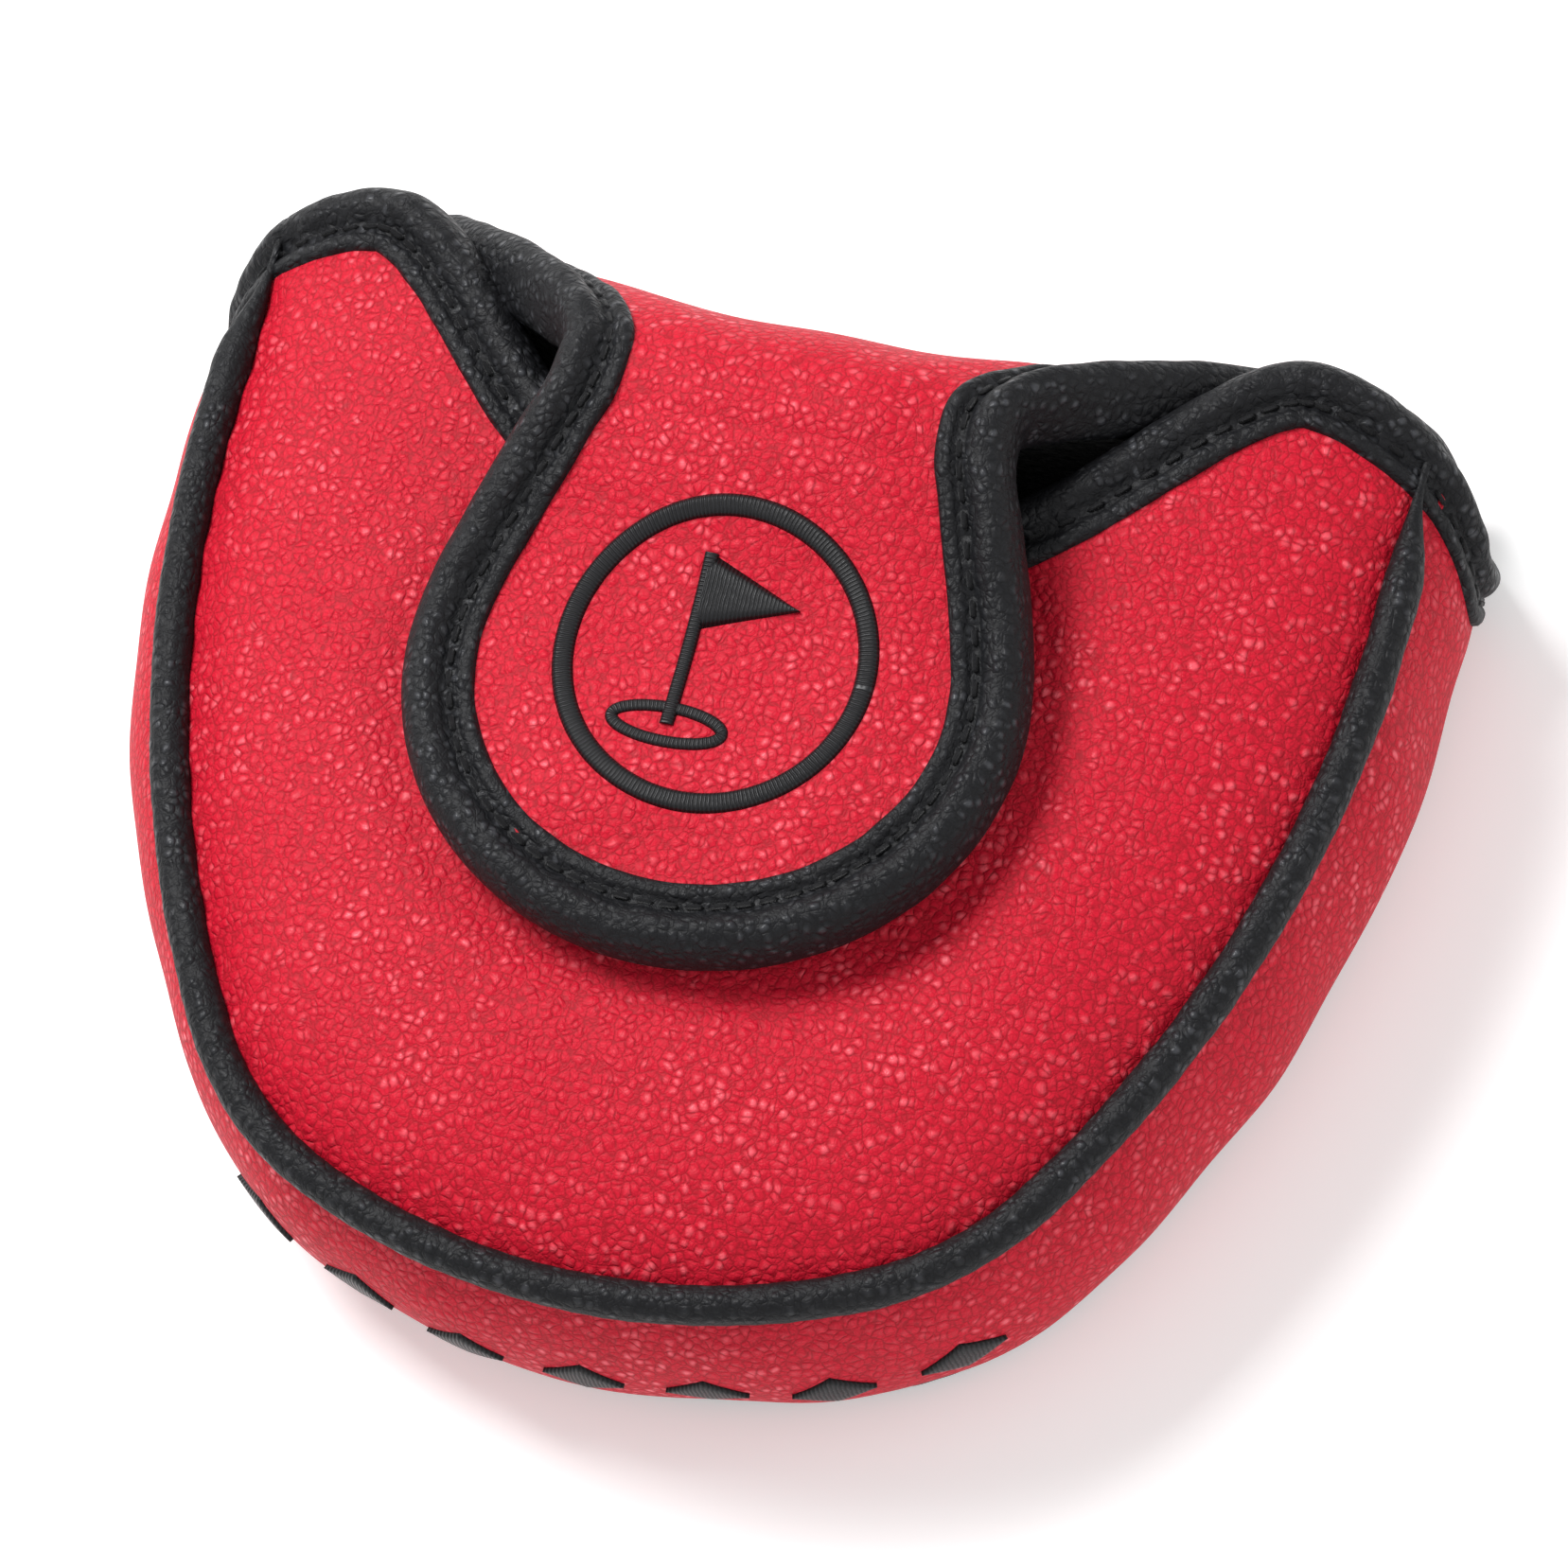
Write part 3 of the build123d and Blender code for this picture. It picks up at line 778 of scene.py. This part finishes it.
def tape_section(thickness, bead=5.0, groove=0.3, top=1.55, under=0.55):
    """Inset and height from the outer flange over the bead to the inner flange, which is flatter.

    The bead is an ellipse about the middle of the wall's thickness, and the flange a low cushion.
    """
    centre, high = bead / 2 + 0.3, thickness / 2 + top
    low_turn = math.asin((thickness / 2 + groove) / high)
    t = np.linspace(0, 1, 9)
    flange_d = tape_width - (tape_width - bead - 0.9) * t
    flange_h = -0.15 + np.clip(1 - np.abs(2 * t - 1) ** 3, 0, 1) ** 0.5
    flange_h[-1] = groove
    turn = np.linspace(low_turn, math.pi / 2, 9)
    over_d, over_h = centre + centre * np.cos(turn), -thickness / 2 + high * np.sin(turn)
    turn = np.linspace(math.pi / 2, math.pi, 10)[1:]
    rim_d, rim_h = centre + centre * np.cos(turn), -thickness / 2 + high * np.sin(turn)
    d = np.concatenate([flange_d, over_d, rim_d])
    h = np.concatenate([flange_h, over_h, rim_h])
    below = np.where(h > 0, -thickness - under * h, -thickness - h)
    return np.concatenate([d, d[-2::-1]]), np.concatenate([h, below[-2::-1]])


def even_path(points, step):
    """Where even steps along a path fall, from 0 at its first point to 1 at its last, and its length."""
    length = np.concatenate([[0], np.cumsum(np.linalg.norm(np.diff(points, axis=0), axis=1))])
    even = np.linspace(0, length[-1], int(length[-1] / step))
    return np.interp(even, length, np.linspace(0, 1, len(points))), float(length[-1])


print("section points", len(tape_section(wall)[0]))

# %% [markdown]
# ## The front mouth tape
# Its edge runs up one end of the gusset, along the front wall's mouth and down the other end. On
# the dome a point is found by stepping square to the edge in plan, and on the gusset by stepping
# along it, so the section keeps its width all the way.


# %% The front mouth tape
def front_path(share):
    """Where along the front mouth edge: plan x and the gusset's angle, for share from -1 to 1."""
    front_share = 0.72
    a = np.abs(share)
    x = np.sign(share) * half_width * np.clip(a / front_share, 0, 1)
    turn = gusset_angle * (1 - 2 * np.clip((a - front_share) / (1 - front_share), 0, 1))
    return x, turn, a > front_share


def front_tape_point(share, inset, height):
    """On the dome the inset runs square to the mouth edge; on the gusset it runs along it."""
    share, inset, height = np.broadcast_arrays(share, inset, height)
    x, turn, on_gusset = front_path(share)
    step, turn_from = 0.01, 55
    slope = (mouth_y(x + step) - mouth_y(x - step)) / (2 * step)
    slope = slope * (1 - smooth((np.abs(x) - turn_from) / (half_width - turn_from)))
    run = np.hypot(1, slope)
    px, py = x + inset * slope / run, mouth_y(x) - inset / run
    z, normal, _, _ = dome(px, py)
    on_dome = np.stack([px, py, z], -1) + height[..., None] * normal
    out = gusset_bulge - gusset_radius + (gusset_radius + height) * np.cos(turn)
    edge_y = mouth_y(half_width + gusset_bulge - gusset_radius + gusset_radius * np.cos(turn))
    side_z = gusset_mid + (gusset_radius + height) * np.sin(turn)
    on_side = np.stack([np.sign(share) * (half_width + out), edge_y - inset, side_z], -1)
    return np.where(on_gusset[..., None], on_side, on_dome)


def tape_tube(name, point, shares, thickness, length):
    """The tape's section carried along an edge, with small crinkles where the stitches pull."""
    d, h = tape_section(thickness)
    u = np.linspace(0, 1, len(shares))[:, None]
    pull = np.exp(-(((d - stitch_inset) / 1.3) ** 2))[None]
    crinkle = 0.1 * np.sin(u * (length / stitch_pitch) * 2 * math.pi) * pull
    ripple = crinkle + 0.12 * swell(u * 900, d[None] * 3, 17, 21)
    height = h[None] + np.where(h > -thickness / 2, 1, -1)[None] * ripple
    points = point(shares[:, None], d[None] + 0 * u, height)
    return tube(name, points, [black_leather])


front_even, front_length = even_path(front_tape_point(np.linspace(-1, 1, 1500), 0.0, 0.0), tape_step)
front_shares = front_even * 2 - 1


def front_tape_even(share, inset, height):
    """The same point, with share from 0 to 1 in even steps of length."""
    place = np.linspace(0, 1, len(front_shares))
    return front_tape_point(np.interp(share, place, front_shares), inset, height)


front_tape = tape_tube("front_mouth_tape", front_tape_point, front_shares, wall, front_length)
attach(front_tape, "pouch")
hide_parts("front_mouth_binding", "gusset_binding_left", "gusset_binding_right")
print("front tape", round(front_length, 1), "mm")

# %% [markdown]
# ## The rear and flap tape
# One tape goes from the left ear up the back wall's edge, round the flap and down to the right ear.
# Its edge is laid out flat on the strip, as on a cutting table, the inset is stepped there, and
# then the point is bent with the strip.


# %% The rear and flap tape
tape_foot_angle = math.radians(34)


def rear_edge():
    """The edge of the strip in (s, x), from low on the left, round the flap's tip, to the right."""
    s = np.linspace(tape_foot_angle * arch_radius, flap_wide_s, 700)
    x = band_half(s)
    turn = np.linspace(0, math.pi / 2, 300)[1:]
    s = np.concatenate([s, flap_wide_s + (tip_s - flap_wide_s) * np.sin(turn)])
    x = np.concatenate([x, flap_half * np.cos(turn)])
    return np.concatenate([np.stack([s, -x], -1), np.stack([s, x], -1)[-2::-1]])


edge_line = rear_edge()
edge_even, rear_length = even_path(edge_line, tape_step)
edge_share = np.linspace(0, 1, len(edge_line))
edge_at = np.stack([np.interp(edge_even, edge_share, edge_line[:, k]) for k in (0, 1)], -1)
edge_way = np.gradient(edge_at, axis=0)
edge_way /= np.linalg.norm(edge_way, axis=1)[:, None]


def rear_tape_point(share, inset, height):
    """The edge point moved inwards in the strip's own flat, then lifted off the skin."""
    place = np.linspace(0, 1, len(edge_at))
    s, x = (np.interp(share, place, edge_at[:, k]) for k in (0, 1))
    ds, dx = (np.interp(share, place, edge_way[:, k]) for k in (0, 1))
    size = np.hypot(ds, dx)
    thicker = 1 + (wall / flap_wall - 1) * (1 - thinness(s))
    height = np.where(height < 0, height * thicker, height)
    return band_point(s - inset * dx / size, x + inset * ds / size, height)


rear_shares = np.linspace(0, 1, len(edge_at))
rear_tape = tape_tube("rear_and_flap_tape", rear_tape_point, rear_shares, flap_wall, rear_length)
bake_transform(rear_tape)
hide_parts("rear_binding_left", "rear_binding_right", "flap_binding")
print("rear and flap tape", round(rear_length, 1), "mm")

# %% [markdown]
# ## Stitches in the tapes
# Each stitch is a short thread that dips into the leather at both ends. One small capsule is placed
# at even steps along the groove, turned to the tape's direction, and all of them are one mesh.


# %% Stitches
def stitches(name, point, length, height, inset=5.35, size=(1.05, 0.3), rings=7, sides=6):
    """Capsules of half length and radius size: place + along, across and up, each times a template."""
    count = int(length / stitch_pitch) - 3
    share = (np.arange(count) + 2) / (count + 3)
    step = 0.5 / length
    here, ahead, behind, side = (
        point(share + a * step, np.full(count, inset + b), np.full(count, height))
        for a, b in ((0, 0), (1, 0), (-1, 0), (0, 0.2))
    )
    along = (ahead - behind) / np.linalg.norm(ahead - behind, axis=1)[:, None]
    across = (side - here) / np.linalg.norm(side - here, axis=1)[:, None]
    up = np.cross(along, across)
    turns = np.arange(sides) * 2 * math.pi / sides
    ring, turn = np.meshgrid(np.linspace(-1, 1, rings), turns, indexing="ij")
    fat = size[1] * (1 - ring**4) ** 0.5
    shape = (size[0] * ring, fat * np.cos(turn) * 1.15, fat * np.sin(turn))
    parts = [v[:, None, None, :] * s[None, ..., None] for v, s in zip((along, across, up), shape)]
    points = here[:, None, None, :] + sum(parts)
    faces = grid_faces(rings, sides, ring=True)
    faces = (faces[None] + rings * sides * np.arange(count)[:, None, None]).reshape(-1, 4)
    uv = np.tile(np.stack([ring + turn, turn], -1).reshape(1, -1, 2), (count, 1, 1))
    piece = make_mesh(name, points, faces, [stitch_thread], uv=uv)
    return piece


front_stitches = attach(stitches("front_stitches", front_tape_even, front_length, 0.38), "pouch")
for name, height in (("flap_stitches", 0.38), ("flap_stitches_under", -flap_wall - 0.25)):
    row = stitches(name, rear_tape_point, rear_length, height)
    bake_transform(row)
print("stitches", len(front_stitches.data.polygons), "faces along the front")

# %% [markdown]
# ## Piping
# A cord wrapped in the same black leather is caught in each seam of the gusset. It is a tube that
# follows the seam a little outside it, and it thins to a fifth where it runs under the tape. The
# cord inside is the same tube, thinner. The back seam's is tucked further in.


# %% Piping
def piping(name, level, radius, out, material, rows=760, columns=20):
    """Rings about the seam line, with a radius that shrinks by a smooth step near both ends."""
    s = np.linspace(-1, 1, rows)[:, None] * (end_s - 2.5)
    turn = np.linspace(0, 2 * math.pi, columns, endpoint=False)[None]
    x, y, nx, ny = seam(s)
    pinch = 0.2 + 0.8 * smooth((end_s - 6 - np.abs(s)) / 12)
    grain = 1 + 0.025 * swell(s, 0 * turn, 9, 31) + 0.012 * np.sin(2 * math.pi * s / stitch_pitch)
    reach = out * pinch + radius * pinch * grain * np.cos(turn)
    rise = level + radius * pinch * grain * np.sin(turn)
    return tube(name, np.stack([x + reach * nx, y + reach * ny, rise], -1), [material])


cord_fibre = laid_thread("cord_fibre", (0.35, 0.33, 0.29), (0.6, 0.57, 0.5), 0.8)
core_share = 0.55
for name, level, radius, out in (
    ("front_piping", front_seam + 0.9, 2.05, 1.2),
    ("back_piping", 1.55, 1.5, 0.2),
):
    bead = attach(piping(name + "_bead", level, radius, out, black_leather), "pouch")
    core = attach(piping(name + "_core", level, core_share * radius, out, cord_fibre), "pouch")
    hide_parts(name)
    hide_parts(name + "_cord")
    print(bead.name, len(bead.data.polygons), "faces")

# %% [markdown]
# ## Embroidery
# The emblem is satin stitch: a thick band of thread that stands half a millimetre proud with a
# rounded top. A ribbon is a path and a width; its section is a low dome with steep sides. Filled
# shapes, such as the pennant and the lozenges, are ribbons whose width changes along their path.


# %% Ribbons of thread
def ribbon(name, path, width, lift, closed=False, rise=0.5, columns=9):
    """From plan points and widths to a domed band: lift(x, y, height) puts it on its surface."""
    way = np.roll(path, -1, 0) - np.roll(path, 1, 0) if closed else np.gradient(path, axis=0)
    way = way / np.maximum(np.linalg.norm(way, axis=1), 1e-9)[:, None]
    across = np.stack([-way[:, 1], way[:, 0]], -1)
    v = np.linspace(-1, 1, columns)
    v = np.concatenate([v, v[-2:0:-1]])
    top = np.arange(len(v)) < columns
    height = np.where(top, rise * np.sqrt(np.maximum(1 - v**4, 0)), -0.25)
    flat = path[:, None] + across[:, None] * (v[None, :, None] * np.asarray(width)[:, None, None] / 2)
    points = lift(flat[..., 0], flat[..., 1], height[None] + 0 * flat[..., 0])
    far = np.concatenate([[0], np.cumsum(np.linalg.norm(np.diff(path, axis=0), axis=1))])
    uv = np.stack(np.broadcast_arrays(far[:, None], v[None]), -1)
    if closed:
        points = np.concatenate([points, points[:1]])
        uv = np.concatenate([uv, uv[-1:] + [0.1, 0]])
        return make_mesh(name, points, grid_faces(*points.shape[:2], ring=True), [thread], uv=uv)
    return tube(name, points, [thread], uv=uv)


def on_flap(x, y, height):
    """The place on the flap's skin at plan (x, y)."""
    s = flap_s(y)
    return band_point(s, x, strip_skin(s, x) + height)


emblem_y, emblem_radius, line, least_width = -5.0, 16.8, 2.2, 0.05
middle = emblem_radius - line / 2
inner = emblem_radius - line
turn = np.linspace(0, 2 * math.pi, 240, endpoint=False)
stick_x, foot_y, head_y = -0.2 * inner, emblem_y - 0.55 * inner, emblem_y + 0.72 * inner
ring_path = np.stack([middle * np.cos(turn), emblem_y + middle * np.sin(turn)], -1)
stick_path = np.stack([np.full(60, stick_x), np.linspace(foot_y, head_y, 60)], -1)
fly = np.linspace(0, 1, 50)
pennant_path = np.stack([stick_x + 0.7 * inner * fly, np.full(50, head_y - 0.28 * inner)], -1)
cup_path = np.stack([stick_x + 0.4 * inner * np.cos(turn), foot_y + 0.125 * inner * np.sin(turn)], -1)
marks = [
    ribbon("emblem_ring", ring_path, np.full(240, line), on_flap, closed=True),
    ribbon("emblem_cup", cup_path, np.full(240, 0.09 * inner), on_flap, closed=True, rise=0.35),
    ribbon("emblem_stick", stick_path, np.full(60, 0.7 * line), on_flap, rise=0.55),
    ribbon("emblem_pennant", pennant_path, 0.56 * inner * (1 - fly) + least_width, on_flap, rise=0.6),
]
for mark in marks:
    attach(mark, "flap")
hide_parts("flap_emblem")
print("emblem", [m.name for m in marks])

# %% [markdown]
# ## Lozenges on the gusset
# Seven plain lozenges in the same satin stitch go round the nose. Each is a short ribbon along the
# seam, whose width rises from nothing to its middle and falls again.


# %% Lozenges round the nose
def on_gusset(s, up, height):
    """The place on the gusset at seam distance s and up millimetres above its middle."""
    return gusset_point(s, up / gusset_radius, height)


lozenge_count, lozenge_pitch, lozenge_width, lozenge_height = 7, 12.0, 8.0, 6.0
along = np.linspace(-1, 1, 41)
for k in range(lozenge_count):
    middle_s = (k - (lozenge_count - 1) / 2) * lozenge_pitch
    path = np.stack([middle_s + lozenge_width / 2 * along, 0 * along], -1)
    width = lozenge_height * (1 - np.abs(along)) + least_width
    mark = ribbon(f"lozenge_{k + 1}", path, width, on_gusset)
    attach(mark, "pouch")
    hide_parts(f"gusset_lozenge_{k + 1}")
print(lozenge_count, "lozenges on the gusset")

# %% [markdown]
# ## What stays as the solid model has it
# The magnets have their right shapes already. They only need a finish, which shows when the cover
# is opened up or shown in section.

# %% Finishes of the kept solids
for name, solid in frame["nodes"].items():
    if "magnet" in name:
        solid.data.materials.clear()
        solid.data.materials.append(plate)
        print("kept", name)

# %% [markdown]
# ## Floor, light and camera
# A pale floor and a pale world give the soft white surroundings, and the floor glows a little, as a
# lit sweep of paper does. One lamp from the upper left makes the highlights, and two weaker, larger
# ones keep the shadows soft. The camera has a very long lens, so that the cover is seen almost
# without perspective.


# %% Floor
def paper(name, tone, rough):
    """Matt paper with a barely visible mottling and a faint glow."""
    material, place, shader = new_material(name, rough, specular=0.2)
    mottle = place.node("ShaderNodeTexNoise", Vector=place, Scale=8.0)
    finish(place, shader, mottle.mix((tone, tone, tone, 1), (*[tone * 0.985] * 3, 1)))
    shader.inputs["Emission Color"].default_value = (1, 1, 1, 1)
    shader.inputs["Emission Strength"].default_value = 0.28
    return material


corners = np.array([[-1, -1], [1, -1], [1, 1], [-1, 1]]) * 3000.0
corners = np.c_[corners, np.full(4, -0.05)]
floor = make_mesh("floor", corners, np.array([[0, 1, 2, 3]]), [paper("paper", 0.9, 0.9)])
print("floor", tuple(floor.dimensions))

# %% Camera and lamps
right = Vector((0.9479, 0.2677, -0.1726))
up = Vector((-0.1894, 0.9095, 0.3701))
back = right.cross(up).normalized()
aim = Vector((0, shift, 28)) / 1000 + right * 0.00293 - up * 0.01168
sensor, distance, field = 36.0, 1.3, 0.1593
camera_data = bpy.data.cameras.new("camera")
camera_data.sensor_width = sensor
camera_data.lens = sensor * distance / field
camera = bpy.data.objects.new("camera", camera_data)
camera.matrix_world = Matrix.Translation(aim + back * distance) @ Matrix(
    ((right.x, up.x, back.x), (right.y, up.y, back.y), (right.z, up.z, back.z))
).to_4x4()
camera_data.clip_start, camera_data.clip_end = 0.05, 20
bpy.context.scene.collection.objects.link(camera)
bpy.context.scene.camera = camera


def lamp(name, towards, distance, size, power):
    """A square area lamp, placed along a direction given in the camera's own right, up and back."""
    data = bpy.data.lights.new(name, "AREA")
    data.size, data.energy = size, power
    lamp_object = bpy.data.objects.new(name, data)
    way = (right * towards[0] + up * towards[1] + back * towards[2]).normalized()
    centre = Vector((0, 0, 0.02))
    turned = way.to_track_quat("Z", "Y").to_matrix().to_4x4()
    lamp_object.matrix_world = Matrix.Translation(centre + way * distance) @ turned
    bpy.context.scene.collection.objects.link(lamp_object)


lamp("key", (-0.75, 0.95, 0.75), 0.9, 0.4, 9.4)
lamp("fill", (0.9, 0.1, 0.7), 1.1, 0.9, 2.3)
lamp("low", (0.0, -0.8, 0.8), 1.2, 0.8, 1.6)
world = bpy.data.worlds.new("room")
world.use_nodes = True
glow = world.node_tree.nodes["Background"].inputs
glow["Color"].default_value = (1, 1, 1, 1)
glow["Strength"].default_value = 0.52
bpy.context.scene.world = world
bpy.context.scene.view_settings.view_transform = "Standard"
print("camera lens", round(camera_data.lens, 1), "mm")
